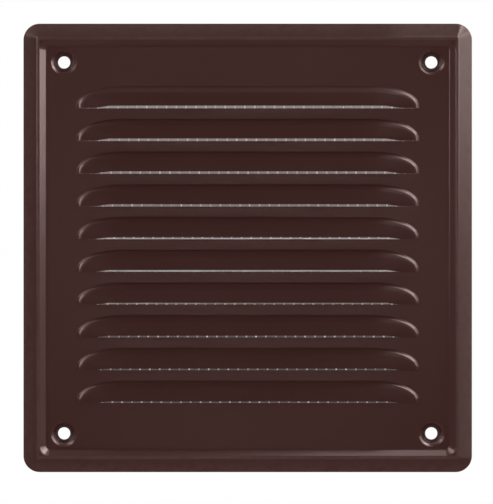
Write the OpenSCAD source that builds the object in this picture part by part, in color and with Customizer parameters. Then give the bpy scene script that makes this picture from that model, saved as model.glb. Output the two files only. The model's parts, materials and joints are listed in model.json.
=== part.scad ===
// Square louvred vent cover, pressed from one sheet, with a wire mesh bonded behind its louvres.
// X is to the right, Z is up and the front faces -Y. The wall is the plane Y = 0.
// The origin is the middle of the four screw holes, on the wall.

/* [Plate] */
// Width of the cover over its rim
plate_w = 165; // [150:1:200]
// Height of the cover over its rim
plate_h = 165; // [150:1:200]
// Radius of the cover's outer corners
corner_r = 6; // [6:0.5:10]
// Thickness of the pressed sheet
sheet_t = 0.6; // [0.4:0.1:0.8]
// Height of the flat panel's front above the wall
panel_height = 2.6; // [2.4:0.1:3.2]
// Corner radius of the flat panel
panel_corner_r = 1; // [0.5:0.1:3]

/* [Rim] */
// Height of the rim's crest above the wall
rim_height = 4.9; // [4.6:0.1:5.2]
// Radius over the rim's crest
crest_r = 1; // [0.9:0.1:1.2]
// Distance of the crest's centre from the cover's edges
crest_inset = 5.8; // [5.2:0.1:5.9]
// Slope of the step down from the rim to the panel
step_angle = 40; // [38:1:50]
// Fillet radius at the foot of the step
foot_r = 0.5; // [0.3:0.1:0.8]

/* [Screw holes] */
// Diameter of the screw holes
hole_d = 4.5; // [3.5:0.1:5]
// Distance of the screw holes from the cover's left and right edges
hole_inset_x = 15; // [14.6:0.1:16]
// Distance of the screw holes from the cover's top and bottom edges
hole_inset_z = 14.3; // [14.2:0.1:16]
// Diameter of the dimple that each screw head sits in
dimple_d = 9.5; // [9:0.1:10]
// Slope of the dimple's wall, from the panel
dimple_angle = 58; // [50:1:70]

/* [Louvres] */
// Distance from one louvre to the next
louvre_pitch = 12; // [11:0.5:16]
// Distance of the louvres' ends from the cover's left and right edges
louvre_inset = 19.9; // [18:0.1:30]
// Height of a louvre from its cut edge to its top bend
louvre_rise = 8; // [7:0.1:9]
// Distance that a louvre's lip stands out from the panel
louvre_lift = 4; // [3:0.1:5]
// Length over which a louvre's top bend curves down at each end
louvre_end = 13.3; // [10:0.1:18]
// Straight part of a louvre's end, above its cut edge
louvre_end_straight = 1; // [0.5:0.1:1.4]
// Gap that shows between a louvre's lip and the panel's cut edge
slit_gap = 0.7; // [0.4:0.1:1.2]
// Distance from a louvre's end to where its gap starts
slit_inset = 4.8; // [3:0.1:8]
// Length over which the gap widens to its full height
slit_taper = 7; // [3:0.1:12]
// Height of the middle of the louvres above the middle of the cover
louvre_shift = 1.2; // [-1.5:0.1:1.5]

/* [Mesh] */
// Diameter of the mesh wire
wire_d = 0.6; // [0.4:0.1:0.7]
// Distance from one upright wire to the next
upright_pitch = 3.6; // [3:0.1:6]
// Distance from one cross wire to the next
cross_pitch = 3.9; // [3:0.1:6]
// Lean of the upright wires, where the mesh was pulled crooked
mesh_lean = 2.8; // [0:0.1:4]
// Place of one upright wire along the middle of the cover
upright_shift = 1.5; // [-1.8:0.1:1.8]
// Place of one cross wire above or below the middle of the cover
cross_shift = -8.4; // [-10:0.1:10]
// Distance that the mesh reaches past the louvres
mesh_lap = 3.2; // [3:0.1:4]

/* [Sealant beads] */
// Width of the beads that hold the mesh
bead_w = 4; // [3:0.1:4.4]
// Thickness of bead that covers the mesh
bead_cover = 0.5; // [0.2:0.1:0.6]
// Width of bead that lies on the mesh
bead_grip = 1.3; // [1:0.1:1.6]
// Length left free of bead at each corner of the mesh
bead_end_gap = 5; // [5:0.5:12]

/* [Hidden] */
$fn = 96;

// Steps in which a rounded bend, a louvre's section and its oval end are drawn
bend_steps = 6;
section_steps = 6;
oval_steps = 8;
// Length by which a cutting form runs past what it cuts
over = 1;

half_w = plate_w / 2;
half_h = plate_h / 2;
back_height = panel_height - sheet_t;

// Rim: its flank rises from the edge until it touches the crest, at this angle from the wall
crest_centre = rim_height - crest_r;
flank_angle = atan2(crest_centre, crest_inset) + asin(crest_r / norm([crest_inset, crest_centre]));

// Step: it runs from the crest's centre to the edge of the flat panel
step_top = crest_centre + crest_r * cos(step_angle);
step_drop = step_top + foot_r * cos(step_angle) - panel_height - foot_r;
step_run = fine((crest_r + foot_r) * sin(step_angle) + step_drop / tan(step_angle));
panel_inset = crest_inset + step_run;

// Screw holes: each dimple goes back until its floor rests on the wall
hole_x = half_w - hole_inset_x;
hole_z = half_h - hole_inset_z;
dimple_depth = back_height;
dimple_floor_r = dimple_d / 2 - dimple_depth / tan(dimple_angle);
dimple_skin = sheet_t * tan(dimple_angle / 2);

// Louvres: as many as fit between the upper and the lower dimples, with the mesh's edge to spare
louvre_half = half_w - louvre_inset;
field_limit = 2 * (hole_z - dimple_d / 2 - dimple_skin - mesh_lap - abs(louvre_shift));
louvre_count = floor((field_limit - louvre_rise) / louvre_pitch) + 1;
field_h = (louvre_count - 1) * louvre_pitch + louvre_rise;
first_cut = louvre_shift - field_h / 2;

// Louvre's end: a quarter of an oval, which stands on a short straight foot. The section is an
// arc that starts steep at the bend and levels out at the oval's centre.
oval_rise = louvre_rise - louvre_end_straight;
oval_x = louvre_half - louvre_end;
section_r = (louvre_lift * louvre_lift + oval_rise * oval_rise) / (2 * louvre_lift);
slit_start = louvre_half - slit_inset;
slit_full = slit_start - slit_taper;

// A louvre's root starts this deep inside each face of the panel, which overlaps it by root_width
root_depth = 0.05;
root_width = 0.15;

// Mesh: the upright wires touch the panel's back and the cross wires lie behind them
mesh_half_w = louvre_half + mesh_lap;
mesh_half_h = field_h / 2 + mesh_lap;
upright_height = back_height - wire_d / 2;
cross_height = back_height - 1.5 * wire_d;
upright_reach = ceil((mesh_half_w + mesh_half_h * tan(mesh_lean)) / upright_pitch) + 1;
cross_reach = ceil((mesh_half_h + abs(louvre_shift) + abs(cross_shift)) / cross_pitch);
shortest_wire = 2 * cross_pitch;

// Beads: a low round section that spans the mesh's edge
bead_height = 2 * wire_d + bead_cover;
bead_r = (bead_w * bead_w / 4 + bead_height * bead_height) / (2 * bead_height);
bead_angle = bead_height < bead_r ? asin(bead_w / 2 / bead_r) : 180 - asin(bead_w / 2 / bead_r);
bead_outset = sqrt(bead_r * bead_r - pow(bead_r - bead_cover, 2)) - bead_grip;

// A length rounded to a thousandth of a millimetre, so that neighbouring forms meet exactly
function fine(v) = round(v * 1000) / 1000;

// Points of an arc about a centre, from one angle to another, measured from straight up
function arc(centre, radius, from, to, steps) = [
    for (i = [0 : steps])
        let (a = from + (to - from) * i / steps)
            [fine(centre[0] + radius * sin(a)), fine(centre[1] + radius * cos(a))]
];

// The rim's outer form, skin deep inside its surface, outwards from the corner's centre
function flank_profile(skin) =
    concat(
        [[0, 0], [fine(corner_r - skin / sin(flank_angle)), 0]],
        arc([corner_r - crest_inset, crest_centre], crest_r - skin, flank_angle, 0, bend_steps),
        [[0, rim_height - skin]]
    );

// The hollow over the panel, skin deep below its surface, outwards from the corner's centre
function hollow_profile(skin) =
    let (
        foot = [panel_corner_r, panel_height + foot_r],
        crest = [panel_corner_r + step_run, crest_centre]
    )
    concat(
        [[0, panel_height - skin]],
        arc(foot, foot_r + skin, 180, 180 - step_angle, bend_steps),
        arc(crest, crest_r - skin, -step_angle, 0, bend_steps),
        [[crest[0], rim_height + over], [0, rim_height + over]]
    );

// Places across a louvre, closer together towards its oval ends
louvre_places = concat(
    [for (i = [0 : oval_steps]) -oval_x - louvre_end * cos(90 * i / oval_steps)],
    [for (i = [oval_steps : -1 : 0]) oval_x + louvre_end * cos(90 * i / oval_steps)]
);

// How far into its oval end a place lies: 0 over the straight middle and 1 at the tip
function end_share(x) = max(abs(x) - oval_x, 0) / louvre_end;

// Heights of a louvre's top bend and of its lip above its cut edge, at a place across it
function bend_line(x) = louvre_end_straight + oval_rise * sqrt(max(1 - pow(end_share(x), 2), 0));
function lip_line(x) = lookup(abs(x), [[slit_full, slit_gap], [slit_start, 0]]);

// Lift of a louvre's surface above the panel: none on its outline, and full within the oval's centre
function lift(x, z) =
    let (
        rise_share = max(z - louvre_end_straight, 0) / oval_rise,
        inset = min(norm([end_share(x), rise_share]), 1) * oval_rise
    )
    sqrt(section_r * section_r - inset * inset) - section_r + louvre_lift;

// Stands the plan, drawn with heights upwards, against the wall
module on_wall() {
    rotate([90, 0, 0]) children();
}

// Repeats what it holds in all four quarters
module four_corners() {
    for (side = [0, 1]) {
        for (end = [0, 1]) {
            mirror([side, 0, 0]) mirror([0, end, 0]) children();
        }
    }
}

module both_ends() {
    for (side = [0, 1]) {
        mirror([side, 0, 0]) children();
    }
}

// Extrudes a section of widths and heights along X or along Y
module along_x(length) {
    rotate([90, 0, 90]) linear_extrude(length, center = true) children();
}

module along_y(length) {
    rotate([90, 0, 0]) linear_extrude(length, center = true) children();
}

// A flat form with round corners, whose walls follow a profile all round
module round_cornered(centre_x, centre_y, profile) {
    four_corners() translate([centre_x, centre_y, 0]) rotate_extrude(angle = 90) polygon(profile);
    along_x(2 * centre_x) two_sided(centre_y, profile);
    both_ends() along_y(2 * centre_y) polygon([for (p = profile) [centre_x + p[0], p[1]]]);
}

module two_sided(centre, profile) {
    last = len(profile) - 1;
    polygon(concat(
        [for (p = profile) [centre + p[0], p[1]]],
        [for (i = [last : -1 : 0]) [-centre - profile[i][0], profile[i][1]]]
    ));
}

module rim_form(skin) {
    round_cornered(half_w - corner_r, half_h - corner_r, flank_profile(skin));
}

module panel_hollow(skin) {
    inset = panel_inset + panel_corner_r;
    round_cornered(half_w - inset, half_h - inset, hollow_profile(skin));
}

// The sheet before it is cut: a rim round a recessed flat panel
module blank() {
    difference() {
        rim_form(0);
        panel_hollow(0);
        difference() {
            rim_form(sheet_t);
            panel_hollow(sheet_t);
        }
    }
}

module dimple_back() {
    cylinder(h = back_height, r1 = dimple_floor_r + dimple_skin, r2 = dimple_d / 2 + dimple_skin);
}

module dimple_front() {
    grow = over / tan(dimple_angle);
    translate([0, 0, sheet_t])
        cylinder(h = dimple_depth + over, r1 = dimple_floor_r, r2 = dimple_d / 2 + grow);
}

// One louvre's drawn sheet. Its cut edge lies along X through the origin.
module louvre() {
    rows = section_steps + 1;
    columns = len(louvre_places);
    count = rows * columns;
    top = [
        for (x = louvre_places)
            for (j = [0 : section_steps])
                let (
                    share = 1 - cos(90 * j / section_steps),
                    z = bend_line(x) + (lip_line(x) - bend_line(x)) * share
                )
                    [x, z, lift(x, z) - root_depth]
    ];
    under = [for (p = top) p - [0, 0, sheet_t - 2 * root_depth]];
    edge = concat(
        [for (i = [0 : columns - 1]) i * rows],
        [for (j = [1 : rows - 1]) (columns - 1) * rows + j],
        [for (i = [columns - 2 : -1 : 0]) i * rows + rows - 1],
        [for (j = [rows - 2 : -1 : 1]) j]
    );
    cells = [
        for (i = [0 : columns - 2])
            for (j = [0 : rows - 2])
                i * rows + j
    ];
    polyhedron(
        points = concat(top, under),
        faces = concat(
            [for (c = cells) [c, c + rows, c + rows + 1]],
            [for (c = cells) [c, c + rows + 1, c + 1]],
            [for (c = cells) [c + count, c + rows + 1 + count, c + rows + count]],
            [for (c = cells) [c + count, c + 1 + count, c + rows + 1 + count]],
            [
                for (k = [0 : len(edge) - 1])
                    let (a = edge[k], b = edge[(k + 1) % len(edge)])
                        [b, a, a + count, b + count]
            ]
        )
    );
}

// The opening in the panel behind a louvre, a little inside its outline and down to its cut edge
module louvre_window() {
    shrink = 1 - root_width / louvre_half;
    translate([0, 0, -sheet_t - over])
        linear_extrude(sheet_t + 2 * over)
            polygon(concat(
                [[-louvre_half * shrink, 0]],
                [for (x = louvre_places) [x * shrink, bend_line(x) - root_width]],
                [[louvre_half * shrink, 0]]
            ));
}

module each_louvre() {
    for (i = [0 : louvre_count - 1]) {
        translate([0, first_cut + i * louvre_pitch, panel_height]) children();
    }
}

module face_plate() {
    color("#3d2824") on_wall() {
        difference() {
            union() {
                blank();
                four_corners() translate([hole_x, hole_z, 0]) dimple_back();
            }
            each_louvre() louvre_window();
            four_corners() translate([hole_x, hole_z, 0]) {
                dimple_front();
                translate([0, 0, -over]) cylinder(h = sheet_t + 2 * over, d = hole_d);
            }
        }
        each_louvre() louvre();
    }
}

// One upright wire, cut off where it runs out of the mesh's edges
module upright_wire(x) {
    lean = tan(mesh_lean);
    side = mesh_half_w - wire_d / 2;
    low = max(louvre_shift - mesh_half_h, (x - side) / lean);
    high = min(louvre_shift + mesh_half_h, (x + side) / lean);
    middle = (low + high) / 2;
    if (high - low > shortest_wire) {
        translate([x - middle * lean, middle, upright_height])
            rotate([0, 0, mesh_lean])
                rotate([90, 0, 0])
                    cylinder(h = (high - low) / cos(mesh_lean), d = wire_d, center = true);
    }
}

module mesh_upright_wires() {
    color("#a8a29d") on_wall() {
        for (i = [-upright_reach : upright_reach]) {
            upright_wire(upright_shift + i * upright_pitch);
        }
    }
}

module mesh_cross_wires() {
    color("#9d9893") on_wall() {
        for (i = [-cross_reach : cross_reach]) {
            z = cross_shift + i * cross_pitch;
            if (abs(z - louvre_shift) < mesh_half_h - wire_d / 2) {
                translate([0, z, cross_height])
                    rotate([0, 90, 0]) cylinder(h = 2 * mesh_half_w, d = wire_d, center = true);
            }
        }
    }
}

// The space that the mesh fills, which the beads fit round
module mesh_space() {
    translate([-mesh_half_w, louvre_shift - mesh_half_h, back_height - 2 * wire_d])
        cube([2 * mesh_half_w, 2 * mesh_half_h, 2 * wire_d]);
}

// A bead along X with round ends, hanging from the panel's back
module bead(length) {
    centre = [0, bead_height - bead_r];
    side = arc(centre, bead_r, bead_angle, 0, bend_steps);
    run = length - bead_w;
    translate([0, 0, back_height]) mirror([0, 0, 1]) {
        along_x(run) two_sided(0, concat(side, [[0, 0]]));
        both_ends() translate([run / 2, 0, 0]) rotate_extrude() polygon(concat(side, [[0, 0]]));
    }
}

// A bead along the mesh's top edge, or along its bottom edge where way is -1
module level_bead(way) {
    color("#c9c6bf") on_wall() difference() {
        translate([0, louvre_shift + way * (mesh_half_h + bead_outset), 0])
            bead(2 * (mesh_half_w - bead_end_gap));
        mesh_space();
    }
}

// A bead up the mesh's right edge, or up its left edge where way is -1
module standing_bead(way) {
    color("#c9c6bf") on_wall() difference() {
        translate([way * (mesh_half_w + bead_outset), louvre_shift, 0])
            rotate([0, 0, 90]) bead(2 * (mesh_half_h - bead_end_gap));
        mesh_space();
    }
}

module mesh_bead_top() {
    level_bead(1);
}

module mesh_bead_bottom() {
    level_bead(-1);
}

module mesh_bead_left() {
    standing_bead(-1);
}

module mesh_bead_right() {
    standing_bead(1);
}

face_plate();
mesh_upright_wires();
mesh_cross_wires();
mesh_bead_top();
mesh_bead_bottom();
mesh_bead_left();
mesh_bead_right();
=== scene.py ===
"""Vent cover: the finish and the fine forms of a pressed, louvred cover with a mesh behind it.

X is to the right, Z is up and the cover's front faces -Y. The wall is the plane Y = 0. Sizes are in metres,
and the settings' defaults are given in millimetres and degrees.
"""

import json
import math
from types import SimpleNamespace

import bpy
import numpy as np
from bpy.props import FloatProperty, FloatVectorProperty, IntProperty, PointerProperty
from mathutils import Matrix, Vector, geometry, noise


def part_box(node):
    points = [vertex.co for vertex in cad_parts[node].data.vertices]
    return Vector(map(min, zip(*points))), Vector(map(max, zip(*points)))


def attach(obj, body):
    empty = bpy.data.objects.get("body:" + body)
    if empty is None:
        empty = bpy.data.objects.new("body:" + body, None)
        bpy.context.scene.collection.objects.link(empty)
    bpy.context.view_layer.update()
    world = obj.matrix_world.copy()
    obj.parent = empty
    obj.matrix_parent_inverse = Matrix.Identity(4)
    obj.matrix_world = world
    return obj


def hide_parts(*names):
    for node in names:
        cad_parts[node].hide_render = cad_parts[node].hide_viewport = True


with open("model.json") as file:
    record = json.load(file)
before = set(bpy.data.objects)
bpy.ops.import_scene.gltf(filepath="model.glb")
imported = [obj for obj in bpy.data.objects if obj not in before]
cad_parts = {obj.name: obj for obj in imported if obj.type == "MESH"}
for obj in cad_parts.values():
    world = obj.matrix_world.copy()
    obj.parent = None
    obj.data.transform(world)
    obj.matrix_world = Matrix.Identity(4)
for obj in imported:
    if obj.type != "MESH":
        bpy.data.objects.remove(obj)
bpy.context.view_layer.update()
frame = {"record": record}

bl_info = {
    "name": "Louvred vent cover",
    "version": (1, 0, 0),
    "blender": (4, 5, 0),
    "location": "3D View > Sidebar > Vent cover",
    "description": "Builds a pressed and coated vent cover with its mesh, beads and studio",
    "category": "Object",
}

MM = 0.001
BODY = "root"

# The photograph's frame, and where the cover lies in it, in pixels from its top left corner
PHOTO_SIZE = (493, 504)
COVER_CENTRE = (247.7, 247.9)
COVER_WIDTH = 448.4

PLATE_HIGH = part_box("face_plate")[1]
HALF_W = PLATE_HIGH.x
HALF_H = PLATE_HIGH.z
HOLES = next(m for m in frame["record"]["mounts"] if m["name"] == "screw_holes")["dims"]
HOLE_X = HOLES["spacing_x_mm"] * MM / 2
HOLE_Z = HOLES["spacing_y_mm"] * MM / 2
HOLE_R = HOLES["hole_r_mm"] * MM


def size(label, text, millimetres):
    """A length."""
    return FloatProperty(
        name=label, description=text, default=millimetres * MM, min=0, unit="LENGTH", precision=5
    )


def tilt(label, text, degrees):
    """An angle."""
    return FloatProperty(name=label, description=text, default=math.radians(degrees), subtype="ANGLE")


def fraction(label, text, value):
    """A number from 0 to 1."""
    return FloatProperty(name=label, description=text, default=value, min=0, max=1, subtype="FACTOR")


def positive(label, text, value):
    """A number that isn't below 0."""
    return FloatProperty(name=label, description=text, default=value, min=0)


def whole(label, text, value, least):
    """A whole number that isn't below the least that can be built."""
    return IntProperty(name=label, description=text, default=value, min=least)


def tint(label, text, red, green, blue):
    """A colour, given in scene linear values."""
    return FloatVectorProperty(
        name=label, description=text, default=(red, green, blue), size=3, min=0, max=1, subtype="COLOR"
    )


class PlateSizes(bpy.types.PropertyGroup):
    sheet: size("Sheet", "Thickness of the pressed sheet", 0.6)
    panel: size("Panel height", "Height of the flat panel's front above the wall", 2.6)
    panel_corner: size("Panel corner", "Corner radius of the flat panel", 1)
    corner: size("Outer corner", "Radius of the cover's outer corners", 6)
    rim: size("Rim height", "Height of the rim's crest above the wall", 4.9)
    crest: size("Crest radius", "Radius over the rim's crest", 1)
    crest_inset: size("Crest inset", "Distance of the crest's centre from the edges", 5.8)
    foot: size("Foot radius", "Fillet radius at the foot of the step", 1.2)
    step_angle: tilt("Step slope", "Slope of the step down from the rim", 43)
    bend_steps: whole("Bend steps", "Faces across each bend of the rim", 10, 3)
    corner_steps: whole("Corner steps", "Faces round each corner", 28, 4)
    cut_round: size("Cut rounding", "Rounding of the sheet's cut edges", 0.08)
    round_steps: whole("Rounding steps", "Faces round each cut edge", 3, 1)


class DimpleSizes(bpy.types.PropertyGroup):
    width: size("Dimple", "Diameter of the dimple that each screw head sits in", 9.5)
    lip: size("Lip radius", "Rounding of the dimple's upper edge", 0.5)
    bevel: size("Bevel", "Width in plan of the gentler slope inside the lip", 0.9)
    bevel_angle: tilt("Bevel slope", "Slope of the bevel inside the lip", 38)
    floor: size("Floor radius", "Fillet between the dimple's wall and its floor", 0.4)
    wall_angle: tilt("Wall slope", "Slope of the dimple's wall", 62)
    bend_steps: whole("Bend steps", "Faces across each bend of a dimple", 7, 2)
    round_steps: whole("Round steps", "Faces round a dimple", 72, 16)


class LouvreSizes(bpy.types.PropertyGroup):
    count: whole("Louvres", "Number of louvres", 10, 1)
    pitch: size("Pitch", "Distance from one louvre to the next", 12)
    inset: size("Inset", "Distance of the louvres' ends from the cover's edges", 19.9)
    rise: size("Rise", "Height of a louvre from its cut edge to its top bend", 8)
    lift: size("Lift", "Distance that a louvre's lip stands out from the panel", 4)
    end: size("End", "Length over which the top bend curves down at each end", 16.5)
    end_straight: size("Straight end", "Straight part of a louvre's end above its cut edge", 1)
    root: size("Root", "Distance outside a louvre's outline at which its root starts to rise", 0.25)
    wall: size("Wall", "Width in plan of the steeper wall round a louvre", 2.9)
    wall_slope: positive("Wall slope", "Rise of the wall for each length across it, at its steepest", 1.3)
    gap: size("Gap", "Gap that shows between a louvre's lip and the cut edge", 0.7)
    gap_inset: size("Gap inset", "Distance from a louvre's end to where its gap starts", 6.6)
    gap_taper: size("Gap taper", "Length over which the gap widens to its full height", 5.2)
    shift: size("Shift", "Height of the middle of the louvres above the middle of the cover", 1.2)
    end_steps: whole("End steps", "Faces along each curved end", 34, 6)
    wall_steps: whole("Wall steps", "Faces across a louvre's wall", 18, 4)
    hood_steps: whole("Hood steps", "Faces across a louvre's hood", 14, 4)


class WireSizes(bpy.types.PropertyGroup):
    wire: size("Wire", "Diameter of the mesh wire", 0.6)
    upright_pitch: size("Upright pitch", "Distance from one upright wire to the next", 3.6)
    cross_pitch: size("Cross pitch", "Distance from one cross wire to the next", 3.9)
    lean: tilt("Lean", "Lean of the upright wires", 2.8)
    upright_shift: size("Upright shift", "Place of one upright wire along the middle", 1.5)
    cross_drop: size("Cross drop", "Distance of one cross wire below the middle", 8.4)
    lap: size("Lap", "Distance that the mesh reaches past the louvres", 3.2)
    bend: size("Bend", "How far a wire strays from a straight line", 0.09)
    sink: size("Sink", "How deep crossing wires are fused", 0.07)
    around: whole("Steps round", "Faces round a wire", 9, 5)
    steps: whole("Steps along", "Faces along a wire", 36, 8)


class BeadSizes(bpy.types.PropertyGroup):
    width: size("Width", "Width of a bead", 4)
    height: size("Height", "Height of a bead over the panel's back", 1.7)
    grip: size("Grip", "Width of a bead that lies on the mesh", 1.3)
    end_gap: size("End gap", "Length left free of bead at each corner of the mesh", 5)
    wander: size("Wander", "How far a hand-laid bead strays from its line", 0.25)
    ripple: fraction("Ripple", "How much a bead's width and height vary along it", 0.09)
    along: whole("Steps along", "Faces along a bead", 150, 20)
    across: whole("Steps across", "Faces across a bead", 16, 6)


class CoatingLook(bpy.types.PropertyGroup):
    base: tint("Coating", "Colour of the coating", 0.0445, 0.0166, 0.0136)
    worn: tint("Worn coating", "Colour of the coating where edges are rubbed", 0.095, 0.05, 0.043)
    gloss_tint: tint("Gloss tint", "Colour of the coating's reflections", 1, 0.77, 0.74)
    roughness: fraction("Roughness", "Roughness of the coating", 0.25)
    peel_depth: size("Peel depth", "Depth of the coating's orange peel", 0.006)
    peel_width: size("Peel width", "Width of one bump of the orange peel", 0.9)


class WireLook(bpy.types.PropertyGroup):
    base: tint("Wire", "Colour of the drawn wire", 0.82, 0.78, 0.75)
    dull: tint("Dull wire", "Colour of the wire where it has dulled", 0.62, 0.59, 0.56)
    roughness: fraction("Roughness", "Roughness of the wire", 0.38)


class SealantLook(bpy.types.PropertyGroup):
    base: tint("Sealant", "Colour of the cured sealant", 0.5, 0.49, 0.46)
    shaded: tint("Shaded sealant", "Colour of the sealant's dusty hollows", 0.36, 0.35, 0.32)
    roughness: fraction("Roughness", "Roughness of the sealant", 0.45)


class StudioSettings(bpy.types.PropertyGroup):
    distance: size("Camera distance", "Distance from the camera to the wall", 790)
    floor_drop: size("Floor drop", "Distance of the floor below the cover's middle", 260)
    ambient: positive("Ambient", "Strength of the even light", 0.36)
    fill: positive("Fill lamp", "Radiance of the lamp by the camera", 61)
    key: positive("Key lamp", "Radiance of the large lamp on the right", 7.8)
    low_key: positive("Low lamp", "Radiance of the lamp under the key lamp", 0.5)
    strip: positive("Strip lamp", "Radiance of the narrow lamp on the left", 10)
    corner: positive("Corner lamp", "Radiance of the lamp at the upper left", 6)
    top: positive("Top lamp", "Radiance of the lamp above", 6.8)
    shoulder: positive("Shoulder lamp", "Radiance of the lamp between the key and the top lamp", 13)
    far_shoulder: positive("Far shoulder lamp", "Radiance of the lamp between the corner and the top lamp", 5)
    rear: positive("Rear lamp", "Radiance of the lamp behind the wall", 6)
    glow: positive("Glow", "Radiance of the flags' parts that lie nearly level with the wall", 0.55)
    # Glow of the card behind the mesh at its top and bottom, which paints the shade there
    painted_shade_top: fraction("Painted shade top", "Brightness of the card behind the mesh at its top", 0.27)
    painted_shade_bottom: fraction("Painted shade bottom", "Brightness of the card behind the mesh at its bottom", 0.08)


def arc_points(centre, radius, start, stop, steps):
    """Points of an arc as (along, height), from one angle to another, measured from straight up."""
    angles = np.linspace(start, stop, steps + 1)
    return np.column_stack((centre[0] + radius * np.sin(angles), centre[1] + radius * np.cos(angles)))


class SheetForm:
    """A sheet in plan: its front and back points as (x, z, height), its front normals and its faces."""

    def __init__(self):
        self.front = []
        self.back = []
        self.normals = []
        self.faces = []
        self.square_edge = set()

    def add(self, front, back, normals):
        """Adds matching front and back points with their normals, and returns their numbers."""
        start = len(self.front)
        self.front += [Vector(p) for p in front]
        self.back += [Vector(p) for p in back]
        self.normals += [Vector(n) for n in normals]
        return list(range(start, len(self.front)))

    def ring_of_faces(self, inner, outer):
        """Faces between two closed loops of numbers, each going anticlockwise."""
        for i in range(len(inner)):
            j = (i + 1) % len(inner)
            self.faces.append((outer[i], outer[j], inner[j], inner[i]))

    def grid_of_faces(self, rows):
        """Faces between rows of numbers, where each row starts above the one before it."""
        for low, high in zip(rows[:-1], rows[1:]):
            for i in range(len(low) - 1):
                self.faces.append((low[i], low[i + 1], high[i + 1], high[i]))

    def open_edges(self):
        """Edges that only one face uses, with the face on their left."""
        uses = {edge for face in self.faces for edge in zip(face, face[1:] + face[:1])}
        return [edge for edge in uses if (edge[1], edge[0]) not in uses]

    def outward(self, edges):
        """At each point of the open edges, the way out of the sheet, long enough to move its edges by 1."""
        ways = {}
        for a, b in edges:
            way = (self.front[b] - self.front[a]).normalized().cross(self.normals[a])
            for point in (a, b):
                ways.setdefault(point, []).append(way.normalized())
        out = {}
        # Where the edge all but turns back on itself, it has no way out
        for point, (first, second) in ways.items():
            total = first + second
            out[point] = total * 2 / total.length_squared if total.length > 0.5 else Vector((0, 0, 0))
        return out

    def solid(self, name, cut_round, round_steps):
        """The closed mesh of the sheet with rounded cut edges, stood up against the wall."""
        edges = sorted(self.open_edges())
        cut = [e for e in edges if e[0] not in self.square_edge]
        out = self.outward(cut)
        points = self.front + self.back
        normals = self.normals + [-n for n in self.normals]
        count = len(self.front)
        for point, way in out.items():
            points[point] = points[point] - way * cut_round
            points[count + point] = points[count + point] - way * cut_round
        walls = {}
        for point, way in out.items():
            walls[point] = [point]
            facing = self.normals[point]
            for base, normal in ((self.front[point], facing), (self.back[point], -facing)):
                centre = base - (way + normal) * cut_round
                turns = [math.pi / 2 * i / round_steps for i in range(1, round_steps + 1)]
                ring = [math.sin(t) * way + math.cos(t) * normal for t in turns]
                for turned in (ring if base is self.front[point] else reversed(ring)):
                    walls[point].append(len(points))
                    points.append(centre + cut_round * turned)
                    normals.append(turned.normalized())
            walls[point].append(count + point)
        faces = [tuple(f) for f in self.faces] + [tuple(count + i for i in reversed(f)) for f in self.faces]
        for a, b in cut:
            for i in range(len(walls[a]) - 1):
                faces.append((walls[b][i], walls[a][i], walls[a][i + 1], walls[b][i + 1]))
        facings = [normals[i] for face in faces for i in face]
        for a, b in edges:
            if a in self.square_edge:
                faces.append((b, a, count + a, count + b))
                facings += [Vector((0, 0, -1))] * 4
        data = bpy.data.meshes.new(name)
        data.from_pydata([(p.x, -p.z, p.y) for p in points], [], faces)
        data.shade_smooth()
        data.normals_split_custom_set([(n.x, -n.z, n.y) for n in facings])
        return data


def rim_profile(plate):
    """The rim's front and back as (inset, height), and its leans, to the crest and on to the panel."""
    crest_height = plate.rim - plate.crest
    crest_centre = (plate.crest_inset, crest_height)
    foot_centre = (panel_inset(plate), plate.panel + plate.foot)
    reach = math.hypot(plate.crest_inset, crest_height)
    flank = math.atan2(crest_height, plate.crest_inset) + math.asin(plate.crest / reach)
    step, bend = plate.step_angle, plate.bend_steps
    outer, inner = [], []
    for skin in (0, plate.sheet):
        rise = arc_points(crest_centre, plate.crest - skin, -flank, 0, bend)
        outer.append(np.vstack(([(skin / math.sin(flank), 0)], rise)))
        fall = arc_points(crest_centre, plate.crest - skin, 0, step, bend)
        foot = arc_points(foot_centre, plate.foot + skin, math.pi + step, math.pi, bend)
        inner.append(np.vstack((fall, foot)))
    rise = np.linspace(-flank, 0, bend + 1)
    fall = np.linspace(0, step, bend + 1)
    return (outer, np.hstack((rise[:1], rise))), (inner, np.hstack((fall, fall[::-1])))


def panel_inset(plate):
    """Distance from the cover's edge to the edge of its flat panel."""
    slope = plate.step_angle
    top = plate.rim - plate.crest + plate.crest * math.cos(slope)
    drop = top + plate.foot * math.cos(slope) - plate.panel - plate.foot
    return plate.crest_inset + (plate.crest + plate.foot) * math.sin(slope) + drop / math.tan(slope)


def rounded_loop(centre_x, centre_z, radius, steps):
    """Plan points of a rectangle with round corners, going anticlockwise from the right side."""
    loop = []
    for quarter, (sx, sz) in enumerate(((1, 1), (-1, 1), (-1, -1), (1, -1))):
        angles = (quarter + np.linspace(0, 1, steps + 1)) * math.pi / 2
        loop += [(sx * centre_x + radius * math.cos(a), sz * centre_z + radius * math.sin(a)) for a in angles]
    return loop


def add_rim(form, plate):
    """Adds the rim and its step, and returns the loop where the flat panel starts."""
    outer, inner = rim_profile(plate)
    inset = panel_inset(plate)
    ways = rounded_loop(0, 0, 1, plate.corner_steps)
    last = None
    for ((front, back), leans), corner in ((outer, plate.corner), (inner, inset + plate.panel_corner)):
        centre_x, centre_z = HALF_W - corner, HALF_H - corner
        for front_place, back_place, lean in zip(front, back, leans):
            loops = [
                [(*p, height) for p in rounded_loop(centre_x, centre_z, corner - depth, plate.corner_steps)]
                for depth, height in (front_place, back_place)
            ]
            normals = [(-math.sin(lean) * x, -math.sin(lean) * z, math.cos(lean)) for x, z in ways]
            numbers = form.add(*loops, normals)
            if last:
                form.ring_of_faces(numbers, last)
            else:
                form.square_edge = set(numbers)
            last = numbers
    return last


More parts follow.
